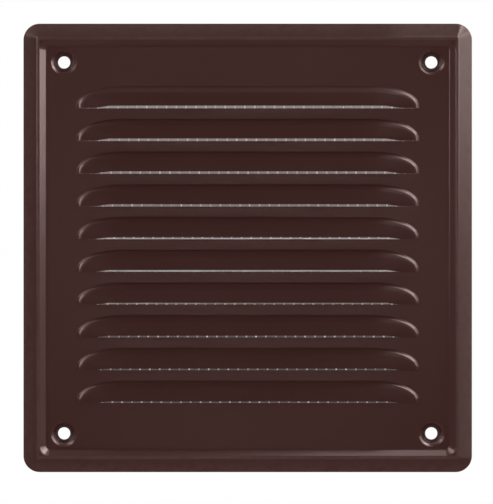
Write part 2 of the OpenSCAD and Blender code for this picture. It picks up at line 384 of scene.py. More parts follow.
def rounded_line(points, radii, steps):
    """An inward line of (radius, height) points with its inner corners rounded, and its normals."""
    line, normals = [], []
    for before, corner, after, radius in zip(points[:-2], points[1:-1], points[2:], radii):
        before, corner, after = Vector(before), Vector(corner), Vector(after)
        into, out = (corner - before).normalized(), (after - corner).normalized()
        turn = into.angle_signed(out)
        # The line runs inwards, so its normal is to the right of its way
        first = Vector((into.y, -into.x))
        bulge = 1 if turn < 0 else -1
        centre = corner - into * radius * math.tan(abs(turn) / 2) - bulge * radius * first
        for i in range(steps + 1):
            normal = first.copy()
            normal.rotate(Matrix.Rotation(-turn * i / steps, 2))
            line.append(tuple(centre + bulge * radius * normal))
            normals.append(tuple(normal))
    return [points[0], *line, points[-1]], [normals[0], *normals, normals[-1]]


def dimple_reach(dimple):
    """Radius at which a dimple's rounded lip meets the flat panel."""
    return dimple.width / 2 + dimple.lip * math.tan(dimple.bevel_angle / 2)


def add_dimple(form, plate, dimple, centre):
    """Adds one dimple round a screw hole, and returns its outer loop, which lies on the flat panel."""
    edge = dimple.width / 2
    brow = edge - dimple.bevel
    brow_height = plate.panel - dimple.bevel * math.tan(dimple.bevel_angle)
    corners = [
        (dimple_reach(dimple), plate.panel),
        (edge, plate.panel),
        (brow, brow_height),
        (brow - (brow_height - plate.sheet) / math.tan(dimple.wall_angle), plate.sheet),
        (HOLE_R, plate.sheet),
    ]
    line, normals = rounded_line(corners, (dimple.lip, dimple.lip, dimple.floor), dimple.bend_steps)
    line, normals = line[1:], normals[1:]
    angles = np.linspace(0, 2 * math.pi, dimple.round_steps, endpoint=False)
    first = last = None
    for (radius, height), (lean, rise) in zip(line, normals):
        rings = [
            [(centre[0] + r * math.cos(a), centre[1] + r * math.sin(a), h) for a in angles]
            for r, h in ((radius, height), (radius - plate.sheet * lean, height - plate.sheet * rise))
        ]
        numbers = form.add(*rings, [(lean * math.cos(a), lean * math.sin(a), rise) for a in angles])
        if last:
            form.ring_of_faces(numbers, last)
        first = first or numbers
        last = numbers
    return first


class Climb:
    """A climb whose slope runs straight between the given places, scaled to a full height if one is given."""

    # Number of places at which the slope is added up
    SAMPLES = 200

    def __init__(self, places, slopes, height=None):
        self.places = np.linspace(places[0], places[-1], self.SAMPLES)
        slope = np.interp(self.places, places, slopes)
        rises = (slope[1:] + slope[:-1]) / 2 * np.diff(self.places)
        self.heights = np.concatenate(([0], np.cumsum(rises)))
        if height:
            self.heights *= height / self.heights[-1]
        self.full = float(self.heights[-1])

    def at(self, place):
        return float(np.interp(place, self.places, self.heights))


class LouvreSurface:
    """The surface of a louvre over its plan. Its cut edge lies along X through the origin."""

    # Shares of the way across the wall and up the hood, and shares of the steepest slope there
    WALL_PLACES, WALL_SLOPES = (0, 0.1, 0.38, 1), (0, 1, 0.3, 0)
    HOOD_PLACES, HOOD_SLOPES = (0, 0.3, 0.7, 1), (0, 1, 0.95, 0.6)
    # Distance to each side of a place over which the surface's slope is measured
    NEAR = 0.02 * MM

    def __init__(self, louvre):
        self.half = HALF_W - louvre.inset
        self.centre_x = self.half - louvre.end
        self.end = louvre.end
        self.straight = louvre.end_straight
        self.depth = louvre.rise - louvre.end_straight
        self.lift = louvre.lift
        self.root = louvre.root
        self.gap = louvre.gap
        self.gap_start = self.half - louvre.gap_inset
        self.gap_full = self.gap_start - louvre.gap_taper
        self.grow = 1 + self.root / self.depth
        self.wall_width = louvre.wall
        # The wall is steepest next to its crisp root. The hood climbs on from it and eases towards the lip.
        places = [part * louvre.wall for part in self.WALL_PLACES]
        self.wall = Climb(places, [part * louvre.wall_slope for part in self.WALL_SLOPES])
        self.hood = Climb(self.HOOD_PLACES, self.HOOD_SLOPES, self.lift - self.wall.full)

    def height(self, x, z):
        """Height above the panel at a place in plan."""
        end_share = max(abs(x) - self.centre_x, 0) / self.end
        rise_share = max(z - self.straight, 0) / self.depth
        reach = math.hypot(end_share, rise_share)
        if reach == 0:
            return self.lift
        steepness = math.hypot(end_share / self.end, rise_share / self.depth) / reach
        inside = (1 - reach) / steepness
        return self.wall.at(inside + self.root) + self.hood.at(1 - reach / self.grow)

    def point(self, x, z):
        """Height and unit normal at a place in plan."""
        near = self.NEAR
        lean_x = (self.height(x + near, z) - self.height(x - near, z)) / (2 * near)
        lean_z = (self.height(x, z + near) - self.height(x, z - near)) / (2 * near)
        return self.height(x, z), tuple(Vector((-lean_x, -lean_z, 1)).normalized())

    def top(self, x):
        """Height in plan of the root's outer edge."""
        end_share = max(abs(x) - self.centre_x, 0) / (self.end * self.grow)
        return self.straight + self.depth * self.grow * math.sqrt(max(1 - end_share**2, 0))

    def lip(self, x):
        return float(np.interp(abs(x), (self.gap_full, self.gap_start), (self.gap, 0)))

    def places(self, steps):
        """Places across the louvre, closer together towards its ends."""
        angles = np.linspace(0, math.pi / 2, steps + 1)
        ends = self.centre_x + self.end * self.grow * np.cos(angles)
        ends = sorted({*ends.round(9), round(self.gap_start, 9), round(self.gap_full, 9)}, reverse=True)
        return [-x for x in ends] + ends[::-1]

    def shares(self, wall_steps, hood_steps):
        """Shares of the way from the top down to the lip, fine across the wall."""
        brow = self.wall_width / (self.root + self.depth + self.straight - self.gap)
        return [*np.linspace(0, brow, wall_steps, endpoint=False), *np.linspace(brow, 1, hood_steps + 1)]


def add_louvre(form, plate, louvre, surface, cut):
    """Adds one louvre above its cut edge, and returns the loop of its opening in the flat panel."""
    places = surface.places(louvre.end_steps)
    shares = surface.shares(louvre.wall_steps, louvre.hood_steps)
    rows = []
    for part in reversed(shares):
        front, normals = [], []
        for x in places:
            z = surface.top(x) + (surface.lip(x) - surface.top(x)) * part
            height, normal = surface.point(x, z)
            front.append(Vector((x, cut + z, plate.panel + height)))
            normals.append(Vector(normal))
        rows.append(form.add(front, [p - plate.sheet * n for p, n in zip(front, normals)], normals))
    form.grid_of_faces(rows)
    edge = [Vector((x, cut, plate.panel)) for x in places[1:-1]]
    up = Vector((0, 0, 1))
    sill = form.add(edge, [p - plate.sheet * up for p in edge], [up] * len(edge))
    left = [row[0] for row in rows]
    right = [row[-1] for row in rows]
    return left + rows[-1][1:-1] + right[::-1] + sill[::-1]


def add_flat_panel(form, plate, outer, holes, is_open):
    """Fills the flat panel between its outer loop and its holes."""
    numbers, lines, start = list(outer), [], 0
    for loop in holes:
        numbers += loop
    for loop in (outer, *holes):
        lines += [(start + i, start + (i + 1) % len(loop)) for i in range(len(loop))]
        start += len(loop)
    # In millimetres, with triangles inside the outer loop alone and points apart by at least the tolerance
    places = [form.front[n].xy / MM for n in numbers]
    inside, tolerance = 1, 1e-6
    found, _, triangles, sources, _, _ = geometry.delaunay_2d_cdt(places, lines, [], inside, tolerance)
    for triangle in triangles:
        middle = sum((found[i] for i in triangle), Vector((0, 0))) / 3 * MM
        if not is_open(middle.x, middle.y):
            form.faces.append(tuple(numbers[sources[i][0]] for i in triangle))


def face_plate_mesh(plate, dimple, louvre):
    """The pressed sheet: rim, flat panel, dimples and louvres in one skin with its thickness."""
    form = SheetForm()
    surface = LouvreSurface(louvre)
    field = (louvre.count - 1) * louvre.pitch + louvre.rise
    cuts = [louvre.shift - field / 2 + i * louvre.pitch for i in range(louvre.count)]
    holes = [(sx * HOLE_X, sz * HOLE_Z) for sx in (-1, 1) for sz in (-1, 1)]
    outer = add_rim(form, plate)
    loops = [add_dimple(form, plate, dimple, hole) for hole in holes]
    loops += [add_louvre(form, plate, louvre, surface, cut) for cut in cuts]

    def is_open(x, z):
        if any(math.dist((x, z), hole) < dimple_reach(dimple) for hole in holes):
            return True
        wide = surface.centre_x + surface.end * surface.grow
        return abs(x) < wide and any(0 < z - cut < surface.top(x) for cut in cuts)

    add_flat_panel(form, plate, outer, loops, is_open)
    return form.solid("face_plate_sheet", plate.cut_round, plate.round_steps)


# Noise along the wires: its cells in a metre, and numbers that set one kind's noise apart from another's
BEND_CELLS = 90
DIP_CELLS = 200
DIP_SEED = 50
CROSS_SEED = 200
WELD_SEED_STEP = 40

# A weld spot's radius as a share of a wire's, and its height as a share of its radius
WELD_SHARE = 0.92
WELD_HEIGHT = 1.25
# The size of its lumps as a share of it, and how they change down it against round it
WELD_LUMPS = 0.16
WELD_TWIST = 3
# Its faces from top to bottom and round it
WELD_RINGS = 5
WELD_AROUND = 8

# How far a wire's cut end bulges, as a share of its radius
END_DOME = 0.3

# Where seeds lie on the noise's other axes
SEED_SPACING = 7.31
NOISE_LEVEL = 3.7

# Noise along a bead, as its cells in a metre and a number that sets it apart
BEAD_NOISE = {
    "width": (260, 0),
    "fine width": (900, 9),
    "height": (330, 20),
    "line": (60, 30),
    "lean": (150, 40),
    "skin": (700, 60),
}
# A bead's usual height and the lift of its tail, as shares of its full height
BEAD_LEVEL = 0.9
BEAD_TAIL = 0.12
# How far the tail's lift reaches, in half widths of the bead
BEAD_TAIL_REACH = 1.2
# How far a bead leans and how lumpy its skin is, as shares, and a power under 1 that blunts its section
BEAD_LEAN = 0.12
BEAD_LUMPS = 0.04
BEAD_BLUNTNESS = 0.8


def stray(place, seed):
    """A smooth, repeatable wobble between about -1 and 1."""
    return noise.noise(Vector((place, seed * SEED_SPACING, NOISE_LEVEL)))


class MeshLayout:
    """Where the mesh and its beads lie, in plan, as the solids have them."""

    def __init__(self, plate, louvre, wires):
        self.half_w = HALF_W - louvre.inset + wires.lap
        self.half_h = ((louvre.count - 1) * louvre.pitch + louvre.rise) / 2 + wires.lap
        self.middle = louvre.shift
        self.back = plate.panel - plate.sheet
        self.wire = wires.wire

    def uprights(self, wires):
        """Each upright wire's place along the middle and its lower and upper ends."""
        lean = math.tan(wires.lean)
        side = self.half_w - self.wire / 2
        reach = math.ceil((self.half_w + self.half_h * lean) / wires.upright_pitch) + 1
        for i in range(-reach, reach + 1):
            x = wires.upright_shift + i * wires.upright_pitch
            low = max(self.middle - self.half_h, (x - side) / lean)
            high = min(self.middle + self.half_h, (x + side) / lean)
            if high - low > 2 * wires.cross_pitch:
                yield x, low, high

    def crossings(self, wires):
        """Height in plan of each cross wire."""
        reach = math.ceil((self.half_h + self.middle + wires.cross_drop) / wires.cross_pitch)
        for i in range(-reach, reach + 1):
            z = i * wires.cross_pitch - wires.cross_drop
            if abs(z - self.middle) < self.half_h - self.wire / 2:
                yield z


def plan_mesh(name, points, faces):
    """A smooth mesh from plan points, stood up against the wall."""
    data = bpy.data.meshes.new(name)
    data.from_pydata([(x, -height, z) for x, z, height in points], [], faces)
    data.shade_smooth()
    return data


def add_tube(points, faces, line, radius, around):
    """Adds a closed round wire along a line of plan points, with slightly domed cut ends."""
    start = len(points)
    for i, middle in enumerate(line):
        way = (Vector(line[min(i + 1, len(line) - 1)]) - Vector(line[max(i - 1, 0)])).normalized()
        side = way.cross(Vector((0, 0, 1))).normalized()
        up = side.cross(way)
        for j in range(around):
            angle = 2 * math.pi * j / around
            points.append(Vector(middle) + radius * (math.cos(angle) * side + math.sin(angle) * up))
    for i in range(len(line) - 1):
        for j in range(around):
            a, b = start + i * around + j, start + i * around + (j + 1) % around
            faces.append((a, a + around, b + around, b))
    first, last = Vector(line[0]), Vector(line[-1])
    way = (last - first).normalized() * radius * END_DOME
    end = start + (len(line) - 1) * around
    for centre, base, turned in ((first - way, start, False), (last + way, end, True)):
        points.append(centre)
        for j in range(around):
            ring = (base + j, base + (j + 1) % around)
            faces.append((*(ring[::-1] if turned else ring), len(points) - 1))


def add_weld(points, faces, middle, radius, seed):
    """Adds one lumpy weld spot where two wires cross."""
    start = len(points)
    tall = radius * WELD_HEIGHT
    points.append(Vector(middle) + Vector((0, 0, tall)))
    for i in range(1, WELD_RINGS):
        polar = math.pi * i / WELD_RINGS
        for j in range(WELD_AROUND):
            angle = 2 * math.pi * j / WELD_AROUND
            swell = 1 + WELD_LUMPS * stray(angle + WELD_TWIST * polar, seed)
            flat = radius * swell * math.sin(polar)
            offset = Vector((flat * math.cos(angle), flat * math.sin(angle), tall * swell * math.cos(polar)))
            points.append(Vector(middle) + offset)
    points.append(Vector(middle) - Vector((0, 0, tall)))
    for j in range(WELD_AROUND):
        k = (j + 1) % WELD_AROUND
        faces.append((start, start + 1 + j, start + 1 + k))
        faces.append((len(points) - 1, len(points) - 1 - WELD_AROUND + k, len(points) - 1 - WELD_AROUND + j))
        for i in range(WELD_RINGS - 2):
            row = start + 1 + i * WELD_AROUND
            faces.append((row + j, row + WELD_AROUND + j, row + WELD_AROUND + k, row + k))


def mesh_wire_meshes(layout, wires):
    """The upright wires, the cross wires behind them and the weld spots between."""
    radius = wires.wire / 2
    front = layout.back - radius
    rear = layout.back - 3 * radius + wires.sink
    lean = math.tan(wires.lean)
    crossings = list(layout.crossings(wires))

    def bent(place, seed):
        return wires.bend * stray(place * BEND_CELLS, seed)

    upright_points, upright_faces, welds, weld_faces = [], [], [], []
    for number, (x, low, high) in enumerate(layout.uprights(wires)):
        line = []
        for i in range(wires.steps + 1):
            z = low + (high - low) * i / wires.steps
            dip = wires.sink * 0.5 * abs(stray(z * DIP_CELLS, number + DIP_SEED))
            line.append((x - z * lean + bent(z, number), z, front - dip))
        add_tube(upright_points, upright_faces, line, radius, wires.around)
        for k, z in enumerate(crossings):
            if low < z < high:
                middle = (x - z * lean + bent(z, number), z + bent(x, k + CROSS_SEED), (front + rear) / 2)
                add_weld(welds, weld_faces, middle, radius * WELD_SHARE, number * WELD_SEED_STEP + k)
    cross_points, cross_faces = [], []
    for k, z in enumerate(crossings):
        places = [layout.half_w * (2 * i / wires.steps - 1) for i in range(wires.steps + 1)]
        line = [(x, z + bent(x, k + CROSS_SEED), rear) for x in places]
        add_tube(cross_points, cross_faces, line, radius, wires.around)
    return (
        plan_mesh("drawn_uprights", upright_points, upright_faces),
        plan_mesh("drawn_cross_wires", cross_points, cross_faces),
        plan_mesh("weld_spots", welds, weld_faces),
    )


def bead_mesh(name, start, stop, back, beads, seed):
    """One hand-laid bead on the panel's back between two plan points, with round ends and a lifted tail."""
    start, stop = Vector(start), Vector(stop)
    way = (stop - start).normalized()
    side = Vector((-way.y, way.x))
    length = (stop - start).length
    half = beads.width / 2

    def vary(kind, along, shift=0):
        cells, offset = BEAD_NOISE[kind]
        return stray(along * cells + shift, seed + offset)

    points, faces = [], []
    for i in range(beads.along + 1):
        # Sections crowd towards the ends, where the bead closes
        along = (1 - math.cos(math.pi * i / beads.along)) / 2 * length
        from_end = min(along, length - along)
        close = math.sqrt(max(1 - (1 - min(from_end / half, 1)) ** 2, 0))
        tail = 1 + BEAD_TAIL * math.exp(-(((length - along - half) / (BEAD_TAIL_REACH * half)) ** 2))
        swell = 1 + beads.ripple * vary("width", along) + 0.5 * beads.ripple * vary("fine width", along)
        wide = half * close * swell
        tall = beads.height * close * tail * (BEAD_LEVEL + beads.ripple * vary("height", along))
        middle = start + way * along + side * beads.wander * vary("line", along)
        lean = BEAD_LEAN * vary("lean", along)
        for j in range(beads.across + 1):
            angle = math.pi * j / beads.across
            across = -math.cos(angle)
            place = middle + side * wide * (across + lean * math.sin(angle) ** 2)
            dome = math.sin(angle) ** BEAD_BLUNTNESS if 0 < j < beads.across else 0
            lump = 1 + BEAD_LUMPS * vary("skin", along, across * 2)
            points.append((place.x, place.y, back - tall * dome * lump))
    row = beads.across + 1
    for i in range(beads.along):
        first = i * row
        for a in range(first, first + beads.across):
            faces.append((a, a + 1, a + row + 1, a + row))
        faces.append((first, first + row, first + row + beads.across, first + beads.across))
    return plan_mesh(name, points, faces)


def link_object(name, data):
    """A new object in the scene."""
    item = bpy.data.objects.new(name, data)
    bpy.context.scene.collection.objects.link(item)
    return item


def add_piece(name, data, material, replaced):
    """Adds a mesh as a piece that rides on the cover and stands for the named nodes."""
    piece = link_object(name, data)
    data.materials.append(material)
    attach(piece, BODY)
    if replaced:
        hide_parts(*replaced)


def new_material(name):
    """An empty node material, its node tree and its main shader."""
    material = bpy.data.materials.new(name)
    material.use_nodes = True
    tree = material.node_tree
    tree.nodes.clear()
    output = tree.nodes.new("ShaderNodeOutputMaterial")
    shader = tree.nodes.new("ShaderNodeBsdfPrincipled")
    tree.links.new(shader.outputs["BSDF"], output.inputs["Surface"])
    return SimpleNamespace(material=material, tree=tree, shader=shader)


def feed(tree, socket, value):
    """Links an input to a socket, or sets it to a plain number or colour."""
    if isinstance(value, bpy.types.NodeSocket):
        tree.links.new(value, socket)
    elif socket.type == "RGBA":
        socket.default_value = (*value, 1)
    else:
        socket.default_value = value


def feed_inputs(tree, node, **values):
    """Feeds a node's inputs by their names, with _ for a space."""
    for key, value in values.items():
        feed(tree, node.inputs[key.replace("_", " ")], value)
    return node.outputs


def maths(tree, operation, *values, vector=False):
    """The first output of a math or vector math node whose inputs are sockets or plain numbers."""
    node = tree.nodes.new("ShaderNodeVectorMath" if vector else "ShaderNodeMath")
    node.operation = operation
    for socket, value in zip(node.inputs, values):
        feed(tree, socket, value)
    return next(output for output in node.outputs if output.enabled)


def product(tree, *values):
    """Sockets or plain numbers multiplied one after another."""
    result = values[0]
    for value in values[1:]:
        result = maths(tree, "MULTIPLY", result, value)
    return result


def mixed(tree, factor, first, second):
    """A colour between two sockets or plain colours."""
    node = tree.nodes.new("ShaderNodeMix")
    node.data_type = "RGBA"
    sockets = [socket for socket in node.inputs if socket.enabled]
    for socket, value in zip(sockets, (factor, first, second)):
        feed(tree, socket, value)
    return next(output for output in node.outputs if output.enabled)


def ranged(tree, value, low, high, to_low=0, to_high=1):
    """A value mapped from one range to another, with soft ends."""
    node = tree.nodes.new("ShaderNodeMapRange")
    node.interpolation_type = "SMOOTHSTEP"
    return feed_inputs(tree, node, Value=value, From_Min=low, From_Max=high, To_Min=to_low, To_Max=to_high)[0]


def object_place(tree):
    """The object's own coordinates."""
    return tree.nodes.new("ShaderNodeTexCoord").outputs["Object"]


def axes(tree, vector):
    """The X, Y and Z of a vector, by name."""
    return feed_inputs(tree, tree.nodes.new("ShaderNodeSeparateXYZ"), Vector=vector)


def object_noise(tree, width, detail, roughness):
    """Noise over the object's own coordinates, with features about as wide as width."""
    scale = maths(tree, "DIVIDE", 1, width) if isinstance(width, bpy.types.NodeSocket) else 1 / width
    node = tree.nodes.new("ShaderNodeTexNoise")
    place = object_place(tree)
    return feed_inputs(tree, node, Vector=place, Scale=scale, Detail=detail, Roughness=roughness)["Fac"]


def new_group(name, inputs, outputs):
    """A shader node group with named sockets, its given inputs and its outputs to feed."""
    tree = bpy.data.node_groups.new(name, "ShaderNodeTree")
    for label, value in inputs.items():
        socket = tree.interface.new_socket(name=label, in_out="INPUT", socket_type="NodeSocketFloat")
        socket.default_value = value
    for label in outputs:
        tree.interface.new_socket(name=label, in_out="OUTPUT", socket_type="NodeSocketFloat")
    return tree, tree.nodes.new("NodeGroupInput").outputs, tree.nodes.new("NodeGroupOutput")


def grain_group():
    """Fine bumps of one width, as a height in metres, and slow unevenness, as a mask."""
    defaults = {"Width": 0.001, "Depth": 0.00001, "Patch Width": 0.03}
    tree, given, made = new_group("Surface grain", defaults, ["Height", "Patches"])
    fine = object_noise(tree, given["Width"], detail=2, roughness=0.5)
    patches = object_noise(tree, given["Patch Width"], detail=3, roughness=0.55)
    height = product(tree, fine, given["Depth"])
    feed_inputs(tree, made, Height=height, Patches=ranged(tree, patches, 0.15, 0.85))
    return tree


def wear_group():
    """Rubbed edges, as a mask that is broken up by noise."""
    tree, given, made = new_group("Edge wear", {"Amount": 0.5, "Break Up": 0.004}, ["Mask"])
    shape = tree.nodes.new("ShaderNodeNewGeometry").outputs
    edges = ranged(tree, shape["Pointiness"], 0.52, 0.6)
    broken = object_noise(tree, given["Break Up"], detail=4, roughness=0.6)
    broken = ranged(tree, broken, 0.3, 0.6, to_low=0.3)
    feed_inputs(tree, made, Mask=product(tree, edges, broken, given["Amount"]))
    return tree


def rub_group():
    """A thin line rubbed along a square round the middle, as a mask that is broken up by noise."""
    tree, given, made = new_group("Crest rub", {"Amount": 0.5, "Half Side": 0.08, "Width": 0.001}, ["Mask"])
    place = axes(tree, object_place(tree))
    out = maths(tree, "MAXIMUM", *(maths(tree, "ABSOLUTE", place[axis]) for axis in ("X", "Z")))
    off = maths(tree, "ABSOLUTE", maths(tree, "SUBTRACT", out, given["Half Side"]))
    near = ranged(tree, maths(tree, "DIVIDE", off, given["Width"]), 0.2, 1, to_low=1, to_high=0)
    broken = object_noise(tree, width=0.006, detail=4, roughness=0.6)
    broken = ranged(tree, broken, 0.25, 0.75, to_low=0.55)
    feed_inputs(tree, made, Mask=product(tree, near, broken, given["Amount"]))
    return tree


def dust_group():
    """Dust that settles on faces that look up, as a mask."""
    tree, given, made = new_group("Settled dust", {"Amount": 0.2, "Clump Width": 0.002}, ["Mask"])
    shape = tree.nodes.new("ShaderNodeNewGeometry").outputs
    upward = ranged(tree, axes(tree, shape["Normal"])["Z"], 0.15, 0.95)
    clumps = object_noise(tree, given["Clump Width"], detail=5, roughness=0.65)
    clumps = ranged(tree, clumps, 0.4, 0.65, to_low=0.2)
    feed_inputs(tree, made, Mask=product(tree, upward, clumps, given["Amount"]))
    return tree


def falloff_group():
    """A mask that is 0 near the object's origin and rises to 1 far from it."""
    tree, given, made = new_group("Distance falloff", {"Near": 0.5, "Far": 1.0}, ["Mask"])
    away = maths(tree, "LENGTH", object_place(tree), vector=True)
    feed_inputs(tree, made, Mask=ranged(tree, away, given["Near"], given["Far"]))
    return tree


def place_group(tree, name, maker, **values):
    """Puts the named node group in a tree, making it the first time, and feeds its inputs."""
    node = tree.nodes.new("ShaderNodeGroup")
    node.node_tree = bpy.data.node_groups.get(name) or maker()
    return feed_inputs(tree, node, **values)


def patchy_gloss(tree, grain, roughness, smoother, rougher):
    """A roughness that strays from its usual value in patches."""
    return ranged(tree, grain["Patches"], 0, 1, roughness - smoother, roughness + rougher)


def put_finish(made, colour, roughness, grain, bump):
    """Feeds a shader its colour, its roughness and the grain's bumps, whose height is in metres."""
    node = made.tree.nodes.new("ShaderNodeBump")
    bumps = feed_inputs(made.tree, node, Strength=bump, Distance=1, Height=grain["Height"])
    feed_inputs(made.tree, made.shader, Base_Color=colour, Roughness=roughness, Normal=bumps["Normal"])


def coating_material(look, rub_inset):
    """Dark brown semi-gloss coating with orange peel, slow unevenness, and rubbed edges and crest."""
    made = new_material("Brown coating")
    tree = made.tree
    mottling = 0.05
    peel = {"Width": look.peel_width, "Depth": look.peel_depth, "Patch_Width": 0.05}
    grain = place_group(tree, "Surface grain", grain_group, **peel)
    wear = place_group(tree, "Edge wear", wear_group, Amount=0.35, Break_Up=0.003)
    rub = place_group(tree, "Crest rub", rub_group, Amount=0.6, Half_Side=HALF_W - rub_inset, Width=0.0009)
    worn = maths(tree, "MAXIMUM", wear["Mask"], rub["Mask"])
    speckle = ranged(tree, object_noise(tree, width=0.0007, detail=3, roughness=0.7), 0.25, 0.75)
    mottle = product(tree, maths(tree, "ADD", speckle, grain["Patches"]), 0.5)
    patchy = mixed(tree, mottle, *([c * (1 + side * mottling) for c in look.base] for side in (-1, 1)))
    gloss = patchy_gloss(tree, grain, look.roughness, smoother=0.02, rougher=0.02)
    put_finish(made, mixed(tree, worn, patchy, look.worn), gloss, grain, bump=1)
    feed_inputs(tree, made.shader, IOR=1.5, Specular_Tint=look.gloss_tint)
    return made.material


def wire_material(look):
    """Bright drawn wire with dull patches."""
    made = new_material("Drawn wire")
    tree = made.tree
    grain = place_group(tree, "Surface grain", grain_group, Width=0.00025, Depth=0.000004, Patch_Width=0.004)
    gloss = patchy_gloss(tree, grain, look.roughness, smoother=0.08, rougher=0.12)
    put_finish(made, mixed(tree, grain["Patches"], look.base, look.dull), gloss, grain, bump=0.6)
    feed_inputs(tree, made.shader, Metallic=0.15)
    return made.material


def sealant_material(look):
    """Cured sealant, satin, with dusty hollows."""
    made = new_material("Cured sealant")
    tree = made.tree
    grain = place_group(tree, "Surface grain", grain_group, Width=0.0007, Depth=0.00002, Patch_Width=0.006)
    dust = place_group(tree, "Settled dust", dust_group, Amount=0.5, Clump_Width=0.0015)
    patchy = mixed(tree, grain["Patches"], look.base, look.shaded)
    gloss = patchy_gloss(tree, grain, look.roughness, smoother=0.08, rougher=0.1)
    put_finish(made, mixed(tree, dust["Mask"], patchy, look.shaded), gloss, grain, bump=0.8)
    return made.material


class VENT_OT_face_plate(bpy.types.Operator):
    """Builds the pressed face plate with its rim, dimples and louvres"""

    bl_idname = "vent.face_plate"
    bl_label = "Face plate"

    def execute(self, context):
        settings = context.scene
        data = face_plate_mesh(settings.vent_plate, settings.vent_dimple, settings.vent_louvre)
        material = coating_material(settings.vent_coating, settings.vent_plate.crest_inset)
        add_piece("pressed_face_plate", data, material, ["face_plate"])
        return {"FINISHED"}


class VENT_OT_mesh_wires(bpy.types.Operator):
    """Builds the drawn wires of the mesh and the weld spots where they cross"""

    bl_idname = "vent.mesh_wires"
    bl_label = "Mesh wires"

    def execute(self, context):
        settings = context.scene
        layout = MeshLayout(settings.vent_plate, settings.vent_louvre, settings.vent_wires)
        material = wire_material(settings.vent_wire_look)
        uprights, crosses, welds = mesh_wire_meshes(layout, settings.vent_wires)
        add_piece("drawn_upright_wires", uprights, material, ["mesh_upright_wires"])
        add_piece("drawn_cross_wires", crosses, material, ["mesh_cross_wires"])
        add_piece("weld_spots", welds, material, [])
        return {"FINISHED"}


class VENT_OT_sealant_beads(bpy.types.Operator):
    """Builds the hand-laid beads of sealant that hold the mesh"""

    bl_idname = "vent.sealant_beads"
    bl_label = "Sealant beads"

    def execute(self, context):
        settings = context.scene
        beads = settings.vent_beads
        layout = MeshLayout(settings.vent_plate, settings.vent_louvre, settings.vent_wires)
        material = sealant_material(settings.vent_sealant)
        outset = beads.width / 2 - beads.grip
        across, upwards = layout.half_w - beads.end_gap, layout.half_h - beads.end_gap
        right, top = layout.half_w + outset, layout.half_h + outset
        middle = layout.middle
        lines = {
            "top": ((-across, middle + top), (across, middle + top)),
            "bottom": ((across, middle - top), (-across, middle - top)),
            "left": ((-right, middle - upwards), (-right, middle + upwards)),
            "right": ((right, middle + upwards), (right, middle - upwards)),
        }
        for seed, (side, (start, stop)) in enumerate(lines.items()):
            data = bead_mesh(f"laid_bead_{side}", start, stop, layout.back, beads, seed + 1)
            add_piece(f"laid_bead_{side}", data, material, [f"mesh_bead_{side}"])
        return {"FINISHED"}


def add_stage_sheet(name, middle, across, up, material):
    """A flat rectangle of the stage, given by its middle and its two half sides."""
    middle, across, up = Vector(middle), Vector(across), Vector(up)
    corners = [middle - across - up, middle + across - up, middle + across + up, middle - across + up]
    data = bpy.data.meshes.new(name)
    data.from_pydata(corners, [], [(0, 1, 2, 3)])
    data.materials.append(material)
    piece = link_object(name, data)
    return piece


def add_flag(name, middle, across, up, material):
    """A dark card round the cover, as a photographer sets up, which darkens what the gloss mirrors. Where its
    material glows, that glow is painted light that shows only in the gloss.
    """
    flag = add_stage_sheet(name, middle, across, up, material)
    flag.visible_camera = False
    flag.visible_diffuse = False
    flag.visible_transmission = False
    flag.visible_shadow = False


def add_lamp(name, place, width, height, radiance):
    """A rectangular lamp of a given radiance that faces the cover."""
    data = bpy.data.lights.new(name, "AREA")
    data.shape = "RECTANGLE"
    data.size = width
    data.size_y = height
    data.energy = radiance * math.pi * width * height
    lamp = link_object(name, data)
    lamp.location = place
    lamp.rotation_euler = (-Vector(place)).to_track_quat("-Z", "Y").to_euler()
    return lamp


def add_camera(distance):
    """A camera straight in front, which frames the cover as the photograph does."""
    per_pixel = 2 * HALF_W / COVER_WIDTH
    data = bpy.data.cameras.new("Camera")
    data.sensor_fit = "AUTO"
    data.lens = data.sensor_width * distance / (max(PHOTO_SIZE) * per_pixel)
    right = (PHOTO_SIZE[0] / 2 - COVER_CENTRE[0]) * per_pixel
    up = (COVER_CENTRE[1] - PHOTO_SIZE[1] / 2) * per_pixel
    camera = link_object("Camera", data)
    camera.location = (right, -distance, up)
    camera.rotation_euler = (math.pi / 2, 0, 0)
    bpy.context.scene.camera = camera


def seen_directly(tree, path):
    """1 where the camera, gloss or glass sees a surface."""
    seen = maths(tree, "MAXIMUM", path["Is Camera Ray"], path["Is Glossy Ray"])
    return maths(tree, "MAXIMUM", seen, path["Is Transmission Ray"])


def white_world(ambient):
    """An even world, which is white where the camera, gloss or glass sees it."""
    world = bpy.data.worlds.new("Studio")
    world.use_nodes = True
    tree = world.node_tree
    tree.nodes.clear()
    output = tree.nodes.new("ShaderNodeOutputWorld")
    background = tree.nodes.new("ShaderNodeBackground")
    path = tree.nodes.new("ShaderNodeLightPath").outputs
    strength = maths(tree, "MAXIMUM", seen_directly(tree, path), ambient)
    feed_inputs(tree, background, Strength=strength, Color=(1, 1, 1))
    feed_inputs(tree, output, Surface=background.outputs[0])
    # Light that is found by its rays alone stays behind the flags
    world.cycles.sampling_method = "NONE"
    return world


# How far forward of level with the wall, as a sine, a flag's glow starts and is full
GLOW_START, GLOW_FULL = 0.47, 0.24
# How far forward of level a flag's glow is down to its share, and where it is still whole
LEVEL_END, LEVEL_START = 0.02, 0.1
# Tint of the flags' painted glow, which the coating's reflections take on
GLOW_COLOUR = (1, 0.75, 0.75)
CLOTH_BLACK = (0.002, 0.002, 0.002)


